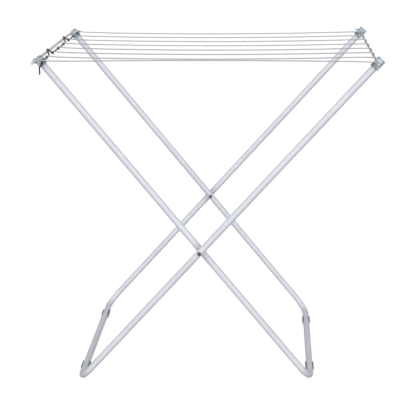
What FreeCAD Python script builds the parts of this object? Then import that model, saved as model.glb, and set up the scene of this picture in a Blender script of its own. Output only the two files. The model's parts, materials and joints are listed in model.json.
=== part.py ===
import FreeCAD, Part
import math
import os

from FreeCAD import Vector

# Clothes drying rack: two bent-tube frames that cross like an X and turn on two pivot screws,
# with eight cords stretched between their top ends.
# X runs from one row of cord ends to the other, Y along the foot bars and Z up, in millimetres.
# The origin is on the floor, below the middle of the rack's overall box.
# Each frame is drawn upright, with the pivot at its origin, and then leaned over.

# Where the rack stands
PIVOT_X = -22.669
FRAME_MIDDLE_Y = 20.5
PIVOT_HEIGHT = 405.4
LINE_HEIGHT = 949.0
SOLE_THICKNESS = 3.0
INNER_LEAN = -39.3
OUTER_LEAN = 41.7

# Bent tubes
TUBE_R = 9.5
TUBE_WALL = 1.0
TUBE_BEND_R = 50.0
INNER_HALF_SPAN = 298.0
OUTER_HALF_SPAN = 332.0

# Hanging bar on the inner frame and thin rod on the outer frame
BAR_R = 4.0
BAR_WALL = 0.8
BAR_FRONT_REACH = 81.0
BAR_REAR_REACH = 13.5
BAR_CAP_LENGTH = 9.0
ROD_R = 2.25
ROD_DROP = 4.4
ROD_FRONT_REACH = 22.0
ROD_REAR_REACH = 15.0

# Plastic connectors on the tube ends
CONNECTOR_HALF_WIDTH = 11.5
CONNECTOR_HALF_DEPTH = 12.0
CONNECTOR_CORNER_R = 6.0
INNER_CONNECTOR_BELOW = 22.5
INNER_CONNECTOR_ABOVE = 5.2
INNER_SHOULDER_R = 8.0
OUTER_CONNECTOR_BELOW = 20.0
OUTER_CONNECTOR_ABOVE = 11.0
OUTER_SHOULDER_R = 2.5
COLLAR_HEIGHT = 4.0
COLLAR_LIP = 1.0
TUBE_END_GAP = 8.0
LOBE_R = 4.4
LOBE_HALF_DEPTH = 8.0
PEG_BASE_R = 2.5
PEG_TIP_R = 1.8
PEG_LENGTH = 14.0
PEG_DROP = 4.0
PEG_SLOPE = 24.0
PIN_R = 2.0
PIN_DROP = 12.5
PIN_HEAD_R = 3.2
PIN_HEAD_HEIGHT = 1.2

# Hook wire that carries the inner ends of the cords
WIRE_R = 2.0
WIRE_INBOARD = 19.0
WIRE_BELOW_BAR = 1.0
WIRE_FRONT_REACH = 19.0
WIRE_REAR_REACH = 10.0
WIRE_BEND_R = 3.2
HOOK_FOOT_SPAN = 41.0
HOOK_SLANT = 41.5
HOOK_WIDTH = 11.0
HOOK_BEFORE_LINE = 17.5
HOOK_TIP_INBOARD = 0.5
HOOK_TIP_RISE = 6.4
HOOKED_LINES = (3, 6)
TAIL_SIDE = 7.0
TAIL_STEP = 5.5
TAIL_TOP = 8.5
TAIL_MIDDLE = 20.0
TAIL_BOTTOM = 41.0

# Pivot screws, spacers and cap nuts
SCREW_R = 3.0
SCREW_HEAD_R = 5.5
SCREW_HEAD_HEIGHT = 3.5
SPACER_R = 7.5
NUT_R = 5.0
NUT_HEIGHT = 6.0
NUT_DOME_R = 3.0

# Foot clips under the foot bars
FOOT_LENGTH = 40.0
FOOT_LIP = 4.5
FOOT_PAD_HALF_WIDTH = 7.0
OUTER_FOOT_Y = 222.0
INNER_FOOT_Y = 193.0

# Cords: line 1 is the front one
CORD_R = 1.6
LINE_COUNT = 8
BAR_LINE_Y = -336.0
WIRE_LINES_FRONT_Y = -265.0
WIRE_LINES_REAR_Y = 281.0
ROD_LINES_FRONT_Y = -349.0
ROD_LINES_REAR_Y = 315.0
LINE_SAGS = (0.5, 4.5, 7.5, 8.0, 6.0, 6.3, 4.5, 6.8)
FRONT_LINE_BOW = 22.0
EYE_SLACK = 0.4

# Clearances
RUNNING_CLEARANCE = 0.05
SEAT_CLEARANCE = 0.03

PIVOT = Vector(PIVOT_X, FRAME_MIDDLE_Y, PIVOT_HEIGHT)
AXIS_Y = Vector(0, 1, 0)
FOOT_BAR_HEIGHT = SOLE_THICKNESS + TUBE_R
LINE_RISE = LINE_HEIGHT - PIVOT_HEIGHT
FOOT_DROP = PIVOT_HEIGHT - FOOT_BAR_HEIGHT
INNER_UP = LINE_RISE / math.cos(math.radians(INNER_LEAN))
OUTER_UP = LINE_RISE / math.cos(math.radians(OUTER_LEAN))
INNER_DOWN = FOOT_DROP / math.cos(math.radians(INNER_LEAN))
OUTER_DOWN = FOOT_DROP / math.cos(math.radians(OUTER_LEAN))
BAR_X = PIVOT_X + LINE_RISE * math.tan(math.radians(INNER_LEAN))
ROD_UP = OUTER_UP - ROD_DROP
ROD_X = PIVOT_X + ROD_UP * math.sin(math.radians(OUTER_LEAN))
ROD_Z = PIVOT_HEIGHT + ROD_UP * math.cos(math.radians(OUTER_LEAN))
INNER_FOOT_X = PIVOT_X - FOOT_DROP * math.tan(math.radians(INNER_LEAN))
OUTER_FOOT_X = PIVOT_X - FOOT_DROP * math.tan(math.radians(OUTER_LEAN))
WIRE_X = BAR_X + WIRE_INBOARD
WIRE_Z = LINE_HEIGHT - WIRE_BELOW_BAR
SIDES = {"front": -1, "rear": 1}


def rounded_path(points, radii):
    """Straight runs through the points, joined by tangent arcs of the given radii."""
    edges = []
    start = points[0]
    for before, corner, after, radius in zip(points, points[1:], points[2:], radii):
        to_before = (before - corner).normalize()
        to_after = (after - corner).normalize()
        half_angle = to_before.getAngle(to_after) / 2
        setback = radius / math.tan(half_angle)
        bisector = (to_before + to_after).normalize()
        arc_start = corner + to_before * setback
        arc_middle = corner + bisector * (radius / math.sin(half_angle) - radius)
        arc_end = corner + to_after * setback
        edges.append(Part.makeLine(start, arc_start))
        edges.append(Part.Arc(arc_start, arc_middle, arc_end).toShape())
        start = arc_end
    edges.append(Part.makeLine(start, points[-1]))
    return Part.Wire(edges)


def swept(path, radius):
    """A solid round bar along a path."""
    first = path.OrderedEdges[0]
    start = first.valueAt(first.FirstParameter)
    direction = first.tangentAt(first.FirstParameter)
    profile = Part.Wire([Part.makeCircle(radius, start, direction)])
    return path.makePipeShell([profile], True, False)


def rod_y(radius, x, z, y_low, y_high):
    """A cylinder parallel to Y between two Y positions."""
    return Part.makeCylinder(radius, y_high - y_low, Vector(x, y_low, z), AXIS_Y)


def block(x_low, x_high, y_low, y_high, z_low, z_high):
    """A box between two corners."""
    corner = Vector(x_low, y_low, z_low)
    return Part.makeBox(x_high - x_low, y_high - y_low, z_high - z_low, corner)


def upright_edges(shape):
    """The straight edges parallel to Z."""
    return [e for e in shape.Edges if abs(abs(e.tangentAt(e.FirstParameter).z) - 1) < 1e-6]


def top_side_edges(shape, z):
    """The straight edges parallel to Y at one height."""
    level = [e for e in shape.Edges if e.BoundBox.ZLength < 1e-6 and abs(e.BoundBox.ZMin - z) < 1e-6]
    return [e for e in level if e.BoundBox.XLength < 1e-6]


def leaned(shape, lean):
    """Lean a shape drawn upright at the pivot and put it in place in the rack."""
    placed = shape.copy()
    placed.rotate(Vector(0, 0, 0), AXIS_Y, lean)
    placed.translate(PIVOT)
    return placed


def upright_point(x, z, lean):
    """The place, in a frame's upright drawing, of a point given across and above the pivot."""
    angle = math.radians(lean)
    return (x * math.cos(angle) - z * math.sin(angle), x * math.sin(angle) + z * math.cos(angle))


def bent_frame(half_span, up, down, lean):
    """One tube bent twice into a U, drilled for the pivot screws and the connector pins."""
    top = up - TUBE_END_GAP
    corners = [
        Vector(0, -half_span, top),
        Vector(0, -half_span, -down),
        Vector(0, half_span, -down),
        Vector(0, half_span, top),
    ]
    path = rounded_path(corners, [TUBE_BEND_R, TUBE_BEND_R])
    tube = swept(path, TUBE_R).cut(swept(path, TUBE_R - TUBE_WALL))
    reach = half_span + 2 * TUBE_R
    tube = tube.cut(rod_y(SCREW_R + RUNNING_CLEARANCE, 0, 0, -reach, reach))
    tube = tube.cut(rod_y(PIN_R + SEAT_CLEARANCE, 0, up - PIN_DROP, -reach, reach))
    return leaned(tube, lean)


def connector_body(middle_y, low, high, shoulder_r):
    """A plastic cap over a tube end, with rounded shoulders and a collar round its mouth."""
    box = block(
        -CONNECTOR_HALF_WIDTH, CONNECTOR_HALF_WIDTH,
        middle_y - CONNECTOR_HALF_DEPTH, middle_y + CONNECTOR_HALF_DEPTH,
        low, high,
    )
    shouldered = box.makeFillet(shoulder_r, top_side_edges(box, high))
    body = box.makeFillet(CONNECTOR_CORNER_R, upright_edges(box)).common(shouldered)
    collar = block(
        -CONNECTOR_HALF_WIDTH - COLLAR_LIP, CONNECTOR_HALF_WIDTH + COLLAR_LIP,
        middle_y - CONNECTOR_HALF_DEPTH - COLLAR_LIP, middle_y + CONNECTOR_HALF_DEPTH + COLLAR_LIP,
        low, low + COLLAR_HEIGHT,
    )
    collar = collar.makeFillet(CONNECTOR_CORNER_R + COLLAR_LIP, upright_edges(collar))
    return body.fuse(collar)


def bored(body, middle_y, low, up, hole_up, hole_r):
    """The body with its tube socket, pin hole and cross hole for the bar or rod."""
    y_low = middle_y - 2 * CONNECTOR_HALF_DEPTH
    y_high = middle_y + 2 * CONNECTOR_HALF_DEPTH
    socket_depth = up - TUBE_END_GAP - low
    socket = Part.makeCylinder(TUBE_R + SEAT_CLEARANCE, socket_depth, Vector(0, middle_y, low))
    cross_hole = rod_y(hole_r + SEAT_CLEARANCE, 0, hole_up, y_low, y_high)
    pin_hole = rod_y(PIN_R + SEAT_CLEARANCE, 0, up - PIN_DROP, y_low, y_high)
    return body.removeSplitter().cut(socket).cut(cross_hole).cut(pin_hole)


def inner_connector(side):
    """The inner frame's connector, with a lobe beside the bar that the hook wire turns in."""
    middle_y = side * INNER_HALF_SPAN
    low = INNER_UP - INNER_CONNECTOR_BELOW
    high = INNER_UP + INNER_CONNECTOR_ABOVE
    body = connector_body(middle_y, low, high, INNER_SHOULDER_R)
    wire_x, wire_z = upright_point(WIRE_X - PIVOT_X, WIRE_Z - PIVOT_HEIGHT, INNER_LEAN)
    lobe = rod_y(LOBE_R, wire_x, wire_z, middle_y - LOBE_HALF_DEPTH, middle_y + LOBE_HALF_DEPTH)
    web = block(
        CONNECTOR_HALF_WIDTH - 1, wire_x,
        middle_y - LOBE_HALF_DEPTH, middle_y + LOBE_HALF_DEPTH,
        wire_z - LOBE_R, wire_z + LOBE_R,
    )
    reach = 2 * CONNECTOR_HALF_DEPTH
    wire_hole = rod_y(WIRE_R + RUNNING_CLEARANCE, wire_x, wire_z, middle_y - reach, middle_y + reach)
    body = bored(body.fuse([lobe, web]), middle_y, low, INNER_UP, INNER_UP, BAR_R)
    return leaned(body.cut(wire_hole), INNER_LEAN)


def outer_connector(side):
    """The outer frame's connector; the rear one has a small peg that keeps the last cord's end in."""
    middle_y = side * OUTER_HALF_SPAN
    low = OUTER_UP - OUTER_CONNECTOR_BELOW
    high = OUTER_UP + OUTER_CONNECTOR_ABOVE
    body = connector_body(middle_y, low, high, OUTER_SHOULDER_R)
    if side > 0:
        slope = math.radians(PEG_SLOPE)
        direction = Vector(-math.cos(slope), 0, -math.sin(slope))
        root = Vector(1 - CONNECTOR_HALF_WIDTH, middle_y, OUTER_UP - PEG_DROP)
        body = body.fuse(Part.makeCone(PEG_BASE_R, PEG_TIP_R, PEG_LENGTH, root, direction))
    return leaned(bored(body, middle_y, low, OUTER_UP, ROD_UP, ROD_R), OUTER_LEAN)


def connector_pin(side, half_span, up, lean):
    """A headed pin that holds a connector on its tube."""
    middle_y = side * half_span
    face = CONNECTOR_HALF_DEPTH
    shank = rod_y(PIN_R, 0, up - PIN_DROP, middle_y - face, middle_y + face)
    pin = shank
    for end in (-1, 1):
        base = Vector(0, middle_y + end * face, up - PIN_DROP)
        head = Part.makeCylinder(PIN_HEAD_R, PIN_HEAD_HEIGHT, base, AXIS_Y * end)
        rim = [e for e in head.Edges if abs(e.BoundBox.Center.y - base.y) > PIN_HEAD_HEIGHT / 2]
        rim = [e for e in rim if e.Length > PIN_HEAD_R * math.pi]
        pin = pin.fuse(head.makeFillet(PIN_HEAD_HEIGHT * 0.6, rim))
    return leaned(pin.removeSplitter(), lean)


def pivot_screw(side):
    """A screw through both legs, its domed head seated on the outer tube."""
    outer_face = OUTER_HALF_SPAN + TUBE_R
    inner_end = INNER_HALF_SPAN - TUBE_R - NUT_HEIGHT + NUT_DOME_R
    start = Vector(0, side * inner_end, 0)
    shank = Part.makeCylinder(SCREW_R, outer_face - inner_end, start, AXIS_Y * side)
    seat = outer_face - TUBE_R / 2
    head = Part.makeCylinder(
        SCREW_HEAD_R, TUBE_R / 2 + SCREW_HEAD_HEIGHT, Vector(0, side * seat, 0), AXIS_Y * side
    )
    top = side * (outer_face + SCREW_HEAD_HEIGHT)
    rim = [e for e in head.Edges if e.BoundBox.YLength < 1e-3 and abs(e.BoundBox.Center.y - top) < 1e-3]
    head = head.makeFillet(SCREW_HEAD_HEIGHT * 0.7, rim)
    leg = Part.makeCylinder(TUBE_R, 8 * TUBE_R, Vector(0, side * OUTER_HALF_SPAN, -4 * TUBE_R))
    return leaned(head.cut(leg).fuse(shank).removeSplitter(), OUTER_LEAN)


def pivot_spacer(side):
    """A plastic bush on the screw that keeps the two legs apart."""
    near = INNER_HALF_SPAN + TUBE_R + RUNNING_CLEARANCE
    length = OUTER_HALF_SPAN - TUBE_R - near
    base = Vector(0, side * near, 0)
    bush = Part.makeCylinder(SPACER_R, length, base, AXIS_Y * side)
    bore = Part.makeCylinder(SCREW_R + SEAT_CLEARANCE, length, base, AXIS_Y * side)
    return leaned(bush.cut(bore), OUTER_LEAN)


def pivot_nut(side):
    """A domed cap nut on the screw's inner end."""
    face = INNER_HALF_SPAN - TUBE_R - RUNNING_CLEARANCE
    base = Vector(0, side * face, 0)
    inward = AXIS_Y * -side
    nut = Part.makeCylinder(NUT_R, NUT_HEIGHT, base, inward)
    top = side * (face - NUT_HEIGHT)
    rim = [e for e in nut.Edges if e.BoundBox.YLength < 1e-3 and abs(e.BoundBox.Center.y - top) < 1e-3]
    nut = nut.makeFillet(NUT_DOME_R, rim)
    bore = Part.makeCylinder(SCREW_R + SEAT_CLEARANCE, NUT_HEIGHT - NUT_DOME_R, base, inward)
    return leaned(nut.cut(bore), OUTER_LEAN)


def foot_clip(x, y):
    """A clip pressed on a foot bar from below, with a flat sole."""
    z = FOOT_BAR_HEIGHT
    y_low = FRAME_MIDDLE_Y + y - FOOT_LENGTH / 2
    y_high = y_low + FOOT_LENGTH
    shell = rod_y(FOOT_BAR_HEIGHT, x, z, y_low, y_high)
    pad = block(x - FOOT_PAD_HALF_WIDTH, x + FOOT_PAD_HALF_WIDTH, y_low, y_high, 0, SOLE_THICKNESS)
    mouth = block(x - 2 * z, x + 2 * z, y_low, y_high, z + FOOT_LIP, 3 * z)
    seat = rod_y(TUBE_R + SEAT_CLEARANCE, x, z, y_low, y_high)
    return shell.fuse(pad).removeSplitter().cut(mouth).cut(seat)


def line_ends(number):
    """The Y positions of a cord's two ends, inner frame first."""
    step = (number - 2) / (LINE_COUNT - 2)
    left = WIRE_LINES_FRONT_Y + step * (WIRE_LINES_REAR_Y - WIRE_LINES_FRONT_Y)
    if number == 1:
        left = BAR_LINE_Y
    share = (number - 1) / (LINE_COUNT - 1)
    right = ROD_LINES_FRONT_Y + share * (ROD_LINES_REAR_Y - ROD_LINES_FRONT_Y)
    return FRAME_MIDDLE_Y + left, FRAME_MIDDLE_Y + right


def hook_wire():
    """A bent wire with two slanting hairpin hooks over the bar and a hanging tail in front."""
    tip_x = BAR_X + HOOK_TIP_INBOARD
    tip_z = LINE_HEIGHT + HOOK_TIP_RISE
    front = FRAME_MIDDLE_Y - INNER_HALF_SPAN - WIRE_FRONT_REACH
    rear = FRAME_MIDDLE_Y + INNER_HALF_SPAN + WIRE_REAR_REACH
    points = [
        Vector(WIRE_X - TAIL_SIDE - TAIL_STEP, front, WIRE_Z - TAIL_BOTTOM),
        Vector(WIRE_X - TAIL_SIDE - TAIL_STEP, front, WIRE_Z - TAIL_MIDDLE),
        Vector(WIRE_X - TAIL_SIDE, front, WIRE_Z - TAIL_MIDDLE + TAIL_STEP),
        Vector(WIRE_X - TAIL_SIDE, front, WIRE_Z - TAIL_TOP),
        Vector(WIRE_X, front, WIRE_Z),
    ]
    for number in HOOKED_LINES:
        foot = line_ends(number)[0] - HOOK_BEFORE_LINE
        tip = foot + HOOK_SLANT
        points += [
            Vector(WIRE_X, foot - HOOK_FOOT_SPAN, WIRE_Z),
            Vector(tip_x, tip - HOOK_WIDTH, tip_z),
            Vector(tip_x, tip, tip_z),
            Vector(WIRE_X, foot, WIRE_Z),
        ]
    points.append(Vector(WIRE_X, rear, WIRE_Z))
    return swept(rounded_path(points, [WIRE_BEND_R] * (len(points) - 2)), WIRE_R)


def hanging_bar():
    """The light tube through both inner connectors, reaching out in front."""
    y_low = FRAME_MIDDLE_Y - INNER_HALF_SPAN - BAR_FRONT_REACH
    y_high = FRAME_MIDDLE_Y + INNER_HALF_SPAN + BAR_REAR_REACH
    outside = rod_y(BAR_R, BAR_X, LINE_HEIGHT, y_low, y_high)
    return outside.cut(rod_y(BAR_R - BAR_WALL, BAR_X, LINE_HEIGHT, y_low, y_high))


def hanging_rod():
    """The thin steel rod through both outer connectors."""
    y_low = FRAME_MIDDLE_Y - OUTER_HALF_SPAN - ROD_FRONT_REACH
    y_high = FRAME_MIDDLE_Y + OUTER_HALF_SPAN + ROD_REAR_REACH
    return rod_y(ROD_R, ROD_X, ROD_Z, y_low, y_high)


def bar_cap(side, reach):
    """A round-nosed plug in one end of the bar."""
    face = FRAME_MIDDLE_Y + side * (INNER_HALF_SPAN + reach)
    nose_middle = face + side * (BAR_CAP_LENGTH - BAR_R)
    plug_end = face - side * BAR_CAP_LENGTH
    nose = Part.makeSphere(BAR_R, Vector(BAR_X, nose_middle, LINE_HEIGHT))
    body = rod_y(BAR_R, BAR_X, LINE_HEIGHT, *sorted((nose_middle, face)))
    plug_r = BAR_R - BAR_WALL - SEAT_CLEARANCE
    plug = rod_y(plug_r, BAR_X, LINE_HEIGHT, *sorted((nose_middle, plug_end)))
    return body.fuse([nose, plug]).removeSplitter()


def cord(number):
    """One cord with a closed eye at each end: round the bar or hook wire, and round the rod."""
    left_y, right_y = line_ends(number)
    held_x = BAR_X if number == 1 else WIRE_X
    held_z = LINE_HEIGHT if number == 1 else WIRE_Z
    held_r = BAR_R if number == 1 else WIRE_R
    left_eye_r = held_r + CORD_R + EYE_SLACK
    right_eye_r = ROD_R + CORD_R + EYE_SLACK
    left_eye = Part.makeTorus(left_eye_r, CORD_R, Vector(held_x, left_y, held_z), AXIS_Y)
    right_eye = Part.makeTorus(right_eye_r, CORD_R, Vector(ROD_X, right_y, ROD_Z), AXIS_Y)
    start = Vector(held_x + left_eye_r, left_y, held_z)
    end = Vector(ROD_X - right_eye_r, right_y, ROD_Z)
    bow = FRONT_LINE_BOW if number == 1 else 0
    sag = LINE_SAGS[number - 1]
    quarter = Vector(0, bow, -sag) * 0.75
    middle = Vector(0, bow, -sag)
    points = [
        start,
        start + (end - start) * 0.25 + quarter,
        start + (end - start) * 0.5 + middle,
        start + (end - start) * 0.75 + quarter,
        end,
    ]
    radii = []
    for before, corner, after in zip(points, points[1:], points[2:]):
        turn = math.pi - (before - corner).getAngle(after - corner)
        shorter = min((before - corner).Length, (after - corner).Length)
        radii.append(0.45 * shorter / math.tan(turn / 2))
    run = swept(rounded_path(points, radii), CORD_R)
    return run.fuse(left_eye).fuse(right_eye)


parts = {
    "inner_frame": bent_frame(INNER_HALF_SPAN, INNER_UP, INNER_DOWN, INNER_LEAN),
    "outer_frame": bent_frame(OUTER_HALF_SPAN, OUTER_UP, OUTER_DOWN, OUTER_LEAN),
    "hanging_bar": hanging_bar(),
    "bar_cap_front": bar_cap(-1, BAR_FRONT_REACH),
    "bar_cap_rear": bar_cap(1, BAR_REAR_REACH),
    "hook_wire": hook_wire(),
    "hanging_rod": hanging_rod(),
}
for name, side in SIDES.items():
    parts["inner_connector_" + name] = inner_connector(side)
    parts["outer_connector_" + name] = outer_connector(side)
    parts["inner_pin_" + name] = connector_pin(side, INNER_HALF_SPAN, INNER_UP, INNER_LEAN)
    parts["outer_pin_" + name] = connector_pin(side, OUTER_HALF_SPAN, OUTER_UP, OUTER_LEAN)
    parts["pivot_screw_" + name] = pivot_screw(side)
    parts["pivot_spacer_" + name] = pivot_spacer(side)
    parts["pivot_nut_" + name] = pivot_nut(side)
    parts["inner_foot_" + name] = foot_clip(INNER_FOOT_X, side * INNER_FOOT_Y)
    parts["outer_foot_" + name] = foot_clip(OUTER_FOOT_X, side * OUTER_FOOT_Y)
for number in range(1, LINE_COUNT + 1):
    parts["line_%d" % number] = cord(number)

os.makedirs("parts", exist_ok=True)
for node, shape in parts.items():
    shape.exportStep("parts/%s.step" % node)
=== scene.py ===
import json
import math

import bpy
from mathutils import Matrix, Vector


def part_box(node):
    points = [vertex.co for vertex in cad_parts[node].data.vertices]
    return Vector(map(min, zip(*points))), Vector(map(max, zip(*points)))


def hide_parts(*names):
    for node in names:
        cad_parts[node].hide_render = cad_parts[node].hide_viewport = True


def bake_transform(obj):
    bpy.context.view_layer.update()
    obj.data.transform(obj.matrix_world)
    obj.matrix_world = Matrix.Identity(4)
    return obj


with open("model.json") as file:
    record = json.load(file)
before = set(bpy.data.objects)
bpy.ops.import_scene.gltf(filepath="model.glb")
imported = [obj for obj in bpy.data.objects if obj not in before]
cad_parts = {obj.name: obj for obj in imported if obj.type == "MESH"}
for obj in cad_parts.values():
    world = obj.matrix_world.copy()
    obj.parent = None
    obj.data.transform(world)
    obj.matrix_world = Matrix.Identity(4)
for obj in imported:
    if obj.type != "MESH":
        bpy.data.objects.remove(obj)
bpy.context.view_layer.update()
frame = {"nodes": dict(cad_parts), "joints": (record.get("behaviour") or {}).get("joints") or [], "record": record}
scene = bpy.context.scene

# Everything is in metres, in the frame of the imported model.

# Camera: where it stands, the way it looks and its focal length on a 36 mm sensor
CAMERA_PLACE = Vector((0.1715, -3.5141, 1.4305))
CAMERA_YAW = math.radians(3.43)
CAMERA_PITCH = math.radians(15.17)
CAMERA_ROLL = math.radians(-0.19)
CAMERA_LENS = 107.33

# Cords: line 1 is the front one and is tied to the bar, the others to the hook wire.
# Ends are measured along Y from the middle of the frames.
CORD_R = 0.0016
LINE_COUNT = 8
BAR_LINE_Y = -0.336
WIRE_LINES_FRONT_Y = -0.265
WIRE_LINES_REAR_Y = 0.281
ROD_LINES_FRONT_Y = -0.349
ROD_LINES_REAR_Y = 0.315
LINE_SAG = 0.006  # lines 2 to 8; the front line is straight seen from the front
FRONT_LINE_BOW = 0.022  # how far the front line's middle stands toward the rear
RUN_SHAPE = ((0.25, 0.75), (0.5, 1), (0.75, 0.75))  # share of the run, share of the sag
# The front cord leaves the bar below its middle and the rod above its top; the lift fades by line 4
FRONT_DIP = 0.0025
FRONT_LIFT = 0.0035
LIFTED_LINES = 3
# The eye at each end: the room round the rod, the turn, and the short tail past the turn
WIRE_EYE_SLACK = 0.0006
ROD_EYE_SLACK = 0.0001
EYE_POINTS = 10
EYE_START = math.radians(-60)
EYE_TURN = math.radians(-210)
NECK = 0.019  # from the middle of the rod to where the run begins
TAIL = Vector((0.001, 0, 0))
FRONT_TAIL = Vector((-0.0015, 0, -0.004))
WIRE_R = 0.002
CURVE_STEPS = 8

# Floor and room
FLOOR_HALF_SIZE = 400
FLOOR_DROP = 0.0003
FLOOR_GLOW = 0.66
ROOM_BRIGHT_SIDE = (0.0, -0.93, 0.37)
ROOM_STRENGTH = 1.5
# Facing, from away from the bright side to toward it, and the grey there
ROOM_SHADES = ((0.0, 0.3), (0.3, 0.2), (0.45, 0.12), (0.62, 0.2), (0.8, 0.75), (1.0, 1.0))
# Softboxes: place, side of the square and power in watts, all aimed at the middle of the rack
LIGHT_TARGET = (0, 0, 0.5)
SOFTBOXES = {
    "left": ((-2.0, -3.1, 1.9), 1.0, 13.3),
    "right": ((2.0, -3.1, 1.9), 1.0, 15.2),
    "top": ((0, 0.2, 3.2), 2.5, 20),
}


def place_camera():
    """The viewing camera, aimed by yaw, pitch and roll."""
    data = bpy.data.cameras.new("camera")
    data.sensor_width = 36
    data.lens = CAMERA_LENS
    data.clip_end = 100
    camera = bpy.data.objects.new("camera", data)
    scene.collection.objects.link(camera)
    turn = Matrix.Rotation(CAMERA_YAW, 4, "Z") @ Matrix.Rotation(math.pi / 2 - CAMERA_PITCH, 4, "X")
    camera.matrix_world = (
        Matrix.Translation(CAMERA_PLACE) @ turn @ Matrix.Rotation(CAMERA_ROLL, 4, "Z")
    )
    scene.camera = camera


# ---------------------------------------------------------------- materials

def new_material(name):
    """A material with a Principled shader, its node tree and that shader."""
    material = bpy.data.materials.new(name)
    material.use_nodes = True
    nodes = material.node_tree.nodes
    return material, material.node_tree, nodes["Principled BSDF"]


def noise(tree, scale, detail=2.0, stretch=(1, 1, 1)):
    """A noise texture in the object's own coordinates, stretched along an axis if asked."""
    place = tree.nodes.new("ShaderNodeTexCoord")
    mapping = tree.nodes.new("ShaderNodeMapping")
    mapping.inputs["Scale"].default_value = stretch
    texture = tree.nodes.new("ShaderNodeTexNoise")
    texture.inputs["Scale"].default_value = scale
    texture.inputs["Detail"].default_value = detail
    tree.links.new(place.outputs["Object"], mapping.inputs["Vector"])
    tree.links.new(mapping.outputs["Vector"], texture.inputs["Vector"])
    return texture.outputs["Fac"]


def ramp(tree, value, stops):
    """A colour ramp over a value; each stop is a position and a colour."""
    node = tree.nodes.new("ShaderNodeValToRGB")
    elements = node.color_ramp.elements
    while len(elements) < len(stops):
        elements.new(0.5)
    for element, (position, colour) in zip(elements, stops):
        element.position = position
        element.color = (*colour, 1)
    tree.links.new(value, node.inputs["Fac"])
    return node.outputs["Color"]


def spread(tree, value, low, high):
    """A value from 0 to 1 mapped onto a range."""
    node = tree.nodes.new("ShaderNodeMapRange")
    node.inputs["To Min"].default_value = low
    node.inputs["To Max"].default_value = high
    tree.links.new(value, node.inputs["Value"])
    return node.outputs["Result"]


def bump(tree, shader, height, strength, distance):
    """Relief on a shader from a height."""
    node = tree.nodes.new("ShaderNodeBump")
    node.inputs["Strength"].default_value = strength
    node.inputs["Distance"].default_value = distance
    tree.links.new(height, node.inputs["Height"])
    tree.links.new(node.outputs["Normal"], shader.inputs["Normal"])


def frame_paint():
    """Pale lavender-grey powder coat with a faint orange-peel skin and small rubbed spots."""
    material, tree, shader = new_material("frame_paint")
    paint = ramp(tree, noise(tree, 9, 3), ((0.3, (0.56, 0.575, 0.65)), (0.7, (0.63, 0.64, 0.69))))
    worn = ramp(tree, noise(tree, 45, 6), ((0.68, (0, 0, 0)), (0.8, (1, 1, 1))))
    rubbed = tree.nodes.new("ShaderNodeMix")
    rubbed.data_type = "RGBA"
    rubbed.inputs["B"].default_value = (0.50, 0.51, 0.57, 1)
    tree.links.new(worn, rubbed.inputs["Factor"])
    tree.links.new(paint, rubbed.inputs["A"])
    tree.links.new(rubbed.outputs["Result"], shader.inputs["Base Color"])
    tree.links.new(spread(tree, noise(tree, 60, 4), 0.32, 0.5), shader.inputs["Roughness"])
    bump(tree, shader, noise(tree, 700, 2), 0.25, 0.0002)
    shader.inputs["Coat Weight"].default_value = 0.35
    shader.inputs["Coat Roughness"].default_value = 0.12
    return material


def connector_plastic():
    """Cloudy blue-grey translucent plastic."""
    material, tree, shader = new_material("connector_plastic")
    cloud = noise(tree, 160, 3)
    tree.links.new(
        ramp(
            tree, cloud,
            ((0.32, (0.16, 0.25, 0.30)), (0.5, (0.50, 0.62, 0.67)), (0.7, (0.84, 0.92, 0.95))),
        ),
        shader.inputs["Base Color"],
    )
    tree.links.new(spread(tree, noise(tree, 240, 3), 0.03, 0.2), shader.inputs["Roughness"])
    bump(tree, shader, noise(tree, 320, 2), 0.2, 0.0003)
    shader.inputs["Transmission Weight"].default_value = 0.8
    shader.inputs["IOR"].default_value = 1.49
    shader.inputs["Coat Weight"].default_value = 0.4
    shader.inputs["Coat Roughness"].default_value = 0.08
    return material


def plain_paint(name, low, high, roughness):
    """Smooth paint or plastic whose colour wanders a little between two tones."""
    material, tree, shader = new_material(name)
    tree.links.new(
        ramp(tree, noise(tree, 40, 3), ((0.3, low), (0.7, high))), shader.inputs["Base Color"]
    )
    tree.links.new(
        spread(tree, noise(tree, 150, 3), roughness - 0.08, roughness + 0.08),
        shader.inputs["Roughness"],
    )
    bump(tree, shader, noise(tree, 900, 2), 0.2, 0.0001)
    return material


def drawn_steel(name, low, high, roughness, stretch):
    """Metal with fine streaks along the way it was drawn."""
    material, tree, shader = new_material(name)
    streaks = noise(tree, 500, 3, stretch)
    tree.links.new(ramp(tree, streaks, ((0.3, low), (0.7, high))), shader.inputs["Base Color"])
    tree.links.new(
        spread(tree, streaks, roughness - 0.1, roughness + 0.1), shader.inputs["Roughness"]
    )
    bump(tree, shader, streaks, 0.15, 0.0001)
    shader.inputs["Metallic"].default_value = 0.9
    return material


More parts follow.
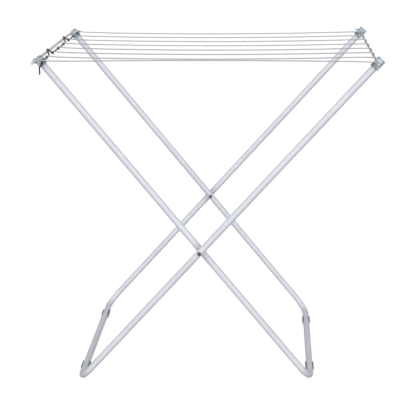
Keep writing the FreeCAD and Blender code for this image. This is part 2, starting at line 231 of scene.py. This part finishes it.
def make_materials():
    """Every material slot of the record and its material."""
    return {
        "frame_paint": frame_paint(),
        "connector_plastic": connector_plastic(),
        "pin_steel": drawn_steel(
            "pin_steel", (0.30, 0.32, 0.34), (0.55, 0.57, 0.60), 0.35, (1, 1, 1)
        ),
        "pivot_dark": drawn_steel(
            "pivot_dark", (0.06, 0.06, 0.07), (0.14, 0.14, 0.16), 0.4, (1, 1, 1)
        ),
        "spacer_plastic": plain_paint(
            "spacer_plastic", (0.40, 0.41, 0.45), (0.48, 0.49, 0.53), 0.45
        ),
        "foot_plastic": plain_paint("foot_plastic", (0.10, 0.11, 0.12), (0.16, 0.17, 0.19), 0.55),
        "cord_vinyl": plain_paint("cord_vinyl", (0.32, 0.325, 0.345), (0.39, 0.395, 0.415), 0.45),
        "bar_paint": plain_paint("bar_paint", (0.64, 0.65, 0.67), (0.74, 0.75, 0.77), 0.35),
        "cap_plastic": plain_paint("cap_plastic", (0.58, 0.57, 0.59), (0.66, 0.65, 0.67), 0.4),
        "rod_steel": drawn_steel(
            "rod_steel", (0.52, 0.52, 0.50), (0.70, 0.70, 0.67), 0.42, (1, 0.03, 1)
        ),
        "wire_dark": plain_paint("wire_dark", (0.006, 0.005, 0.006), (0.018, 0.015, 0.017), 0.5),
    }


# ---------------------------------------------------------------- cords

def line_ends(number):
    """The Y positions of a cord's two ends, inner frame first."""
    middle = frame["joints"][0]["pos_m"][1]
    step = (number - 2) / (LINE_COUNT - 2)
    left = WIRE_LINES_FRONT_Y + step * (WIRE_LINES_REAR_Y - WIRE_LINES_FRONT_Y)
    if number == 1:
        left = BAR_LINE_Y
    share = (number - 1) / (LINE_COUNT - 1)
    right = ROD_LINES_FRONT_Y + share * (ROD_LINES_REAR_Y - ROD_LINES_FRONT_Y)
    return middle + left, middle + right


def eye(centre, radius, toward, tail_side, tail):
    """A cord's end from its tip to where the line leaves: a tail, then a turn round a rod."""
    beside = tail_side * 2 * CORD_R
    turn = []
    for i in range(EYE_POINTS):
        share = i / (EYE_POINTS - 1)
        angle = EYE_START + share * EYE_TURN
        across = toward * radius * math.cos(angle)
        turn.append(centre + Vector((across, beside * (1 - share), radius * math.sin(angle))))
    return [turn[0] + tail, turn[0] + tail / 2] + turn


def cord_route(number):
    """The control points of one cord, from the tip of its inner end to the tip of its outer end."""
    left_y, right_y = line_ends(number)
    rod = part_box("hanging_rod")
    rod_r = (rod[1].x - rod[0].x) / 2
    end = Vector((rod[0].x + rod_r, right_y, rod[0].z + rod_r))
    if number == 1:
        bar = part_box("hanging_bar")
        held_r = (bar[1].x - bar[0].x) / 2
        start = Vector((bar[0].x + held_r, left_y, bar[0].z + held_r))
    else:
        held_r = WIRE_R
        wire = frame["joints"][1]["pos_m"]
        start = Vector((wire[0], left_y, wire[2]))
    run = []
    neck = NECK / (end - start).length
    bow = FRONT_LINE_BOW if number == 1 else 0
    dip, sag = (FRONT_DIP, 0) if number == 1 else (0, LINE_SAG)
    over_rod = rod_r + CORD_R + FRONT_LIFT * max(0, 1 - (number - 1) / LIFTED_LINES)
    for share, drop in ((neck, 0), *RUN_SHAPE, (1 - neck, 0)):
        height = share * over_rod - (1 - share) * dip - drop * sag
        off_line = Vector((0, drop * bow, height))
        run.append(start + (end - start) * share + off_line)
    side = -1 if number == 1 else 1
    rod_tail = FRONT_TAIL if number == 1 else -TAIL
    start_eye = eye(start, held_r + CORD_R + WIRE_EYE_SLACK, 1, side, TAIL)
    end_eye = eye(end, rod_r + CORD_R + ROD_EYE_SLACK, -1, -1, rod_tail)
    return start_eye + run + end_eye[::-1]


def cord_curve(name, points):
    """A smooth curve object with these control points."""
    curve = bpy.data.curves.new(name, "CURVE")
    curve.dimensions = "3D"
    spline = curve.splines.new("NURBS")
    spline.points.add(len(points) - 1)
    for control, point in zip(spline.points, points):
        control.co = (*point, 1)
    spline.order_u = 3
    spline.use_endpoint_u = True
    spline.resolution_u = CURVE_STEPS
    return bpy.data.objects.new(name, curve)


def make_cord(number, material):
    """One cord as a tube along its smooth route, in place of the model's line part, which is hidden."""
    name = "cord_%d" % number
    guide = cord_curve(name + "_guide", cord_route(number))
    line = bpy.data.meshes.new_from_object(guide)
    guide.data.bevel_depth = CORD_R
    guide.data.bevel_resolution = 4
    guide.data.use_fill_caps = True
    mesh = bpy.data.meshes.new_from_object(guide)
    mesh.name = name
    mesh.materials.clear()
    mesh.materials.append(material)
    mesh.polygons.foreach_set("use_smooth", [True] * len(mesh.polygons))
    cord = bpy.data.objects.new(name, mesh)
    scene.collection.objects.link(cord)
    bpy.data.meshes.remove(line)
    bpy.data.objects.remove(guide)
    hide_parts("line_%d" % number)
    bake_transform(cord)


# ---------------------------------------------------------------- floor and light

def make_floor():
    """A wide pale floor."""
    material, tree, shader = new_material("floor")
    tree.links.new(
        ramp(tree, noise(tree, 0.7, 2), ((0.3, (0.50, 0.50, 0.505)), (0.7, (0.54, 0.54, 0.54)))),
        shader.inputs["Base Color"],
    )
    shader.inputs["Roughness"].default_value = 0.9
    shader.inputs["Emission Color"].default_value = (1, 1, 1, 1)
    shader.inputs["Emission Strength"].default_value = FLOOR_GLOW
    half = FLOOR_HALF_SIZE
    mesh = bpy.data.meshes.new("floor")
    corners = [(-half, -half, 0), (half, -half, 0), (half, half, 0), (-half, half, 0)]
    mesh.from_pydata(corners, [], [(0, 1, 2, 3)])
    mesh.materials.append(material)
    floor = bpy.data.objects.new("floor", mesh)
    floor.location.z = -FLOOR_DROP
    floor.visible_diffuse = False
    floor.visible_glossy = False
    scene.collection.objects.link(floor)


def make_world():
    """A white room, brightest in front of the rack and above it."""
    world = bpy.data.worlds.new("room")
    scene.world = world
    world.use_nodes = True
    tree = world.node_tree
    place = tree.nodes.new("ShaderNodeTexCoord")
    dot = tree.nodes.new("ShaderNodeVectorMath")
    dot.operation = "DOT_PRODUCT"
    dot.inputs[1].default_value = ROOM_BRIGHT_SIDE
    tree.links.new(place.outputs["Generated"], dot.inputs[0])
    facing = spread(tree, dot.outputs["Value"], 0, 1)
    facing.node.inputs["From Min"].default_value = -1
    shade = ramp(tree, facing, [(position, (grey, grey, grey)) for position, grey in ROOM_SHADES])
    background = tree.nodes["Background"]
    background.inputs["Strength"].default_value = ROOM_STRENGTH
    tree.links.new(shade, background.inputs["Color"])


def softbox(name, place, target, size, power):
    """A square area light aimed at a point and unseen itself."""
    data = bpy.data.lights.new(name, "AREA")
    data.size = size
    data.energy = power
    light = bpy.data.objects.new(name, data)
    light.visible_camera = False
    light.location = place
    light.rotation_euler = (Vector(target) - Vector(place)).to_track_quat("-Z", "Y").to_euler()
    scene.collection.objects.link(light)


# ---------------------------------------------------------------- the scene

place_camera()
materials = make_materials()
for row in frame["record"]["subparts"]:
    node = frame["nodes"][row["node"]]
    node.data.materials.clear()
    node.data.materials.append(materials[row["material_slot"]])
    node.data.polygons.foreach_set("use_smooth", [True] * len(node.data.polygons))
for number in range(1, LINE_COUNT + 1):
    make_cord(number, materials["cord_vinyl"])
make_floor()
make_world()
for name, (place, size, power) in SOFTBOXES.items():
    softbox(name, place, LIGHT_TARGET, size, power)
scene.view_settings.view_transform = "Standard"
